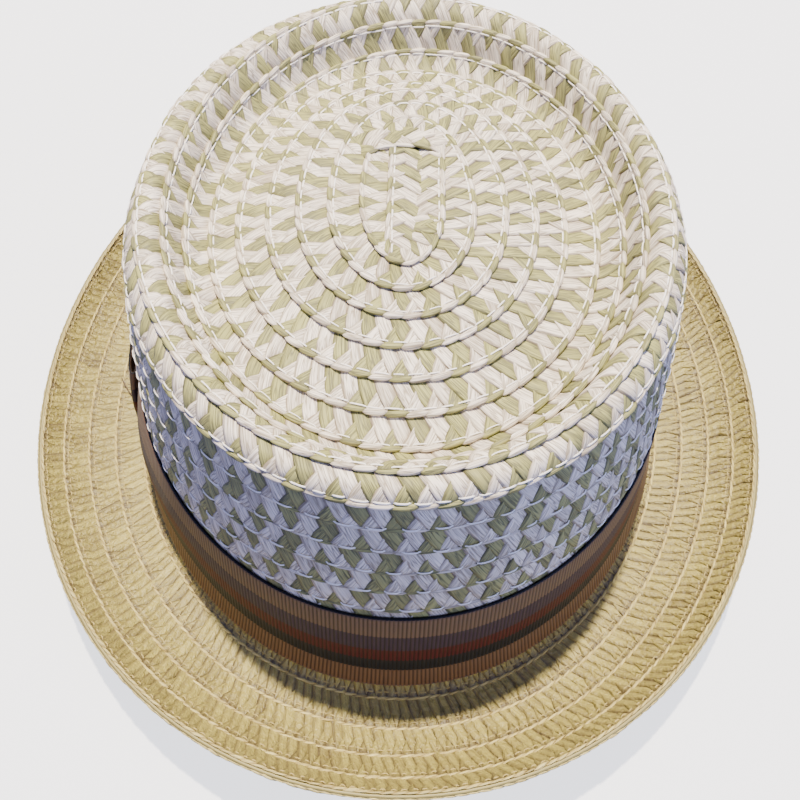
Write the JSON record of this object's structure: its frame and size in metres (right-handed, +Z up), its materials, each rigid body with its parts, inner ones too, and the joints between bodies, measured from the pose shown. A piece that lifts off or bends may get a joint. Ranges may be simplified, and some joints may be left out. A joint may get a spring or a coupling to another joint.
{
  "type": "pork pie hat",
  "caption": "Pork pie hat of sewn cream and olive straw braid, with a short curled brim and a striped grosgrain band tied in a flat bow.",
  "frame": {"origin": "centre of the hat's outline, on the surface that the brim rests on", "axes": "+Z up, +Y towards the hat's front, -X towards the bow on the wearer's left"},
  "size_m": [0.2326, 0.2722, 0.0928],
  "materials": {
    "crown_straw": "matt flat braid of cream and olive paper straw",
    "brim_straw": "matt flat braid of golden paper straw",
    "grosgrain_ribbon": "ribbed ribbon with brown, maroon and black stripes"
  },
  "bodies": {
    "root": {"crown": "crown_straw", "brim": "brim_straw", "hat_band": "grosgrain_ribbon", "bow_back_loop": "grosgrain_ribbon", "bow_front_loop": "grosgrain_ribbon", "bow_knot": "grosgrain_ribbon"}
  },
  "joints": []
}
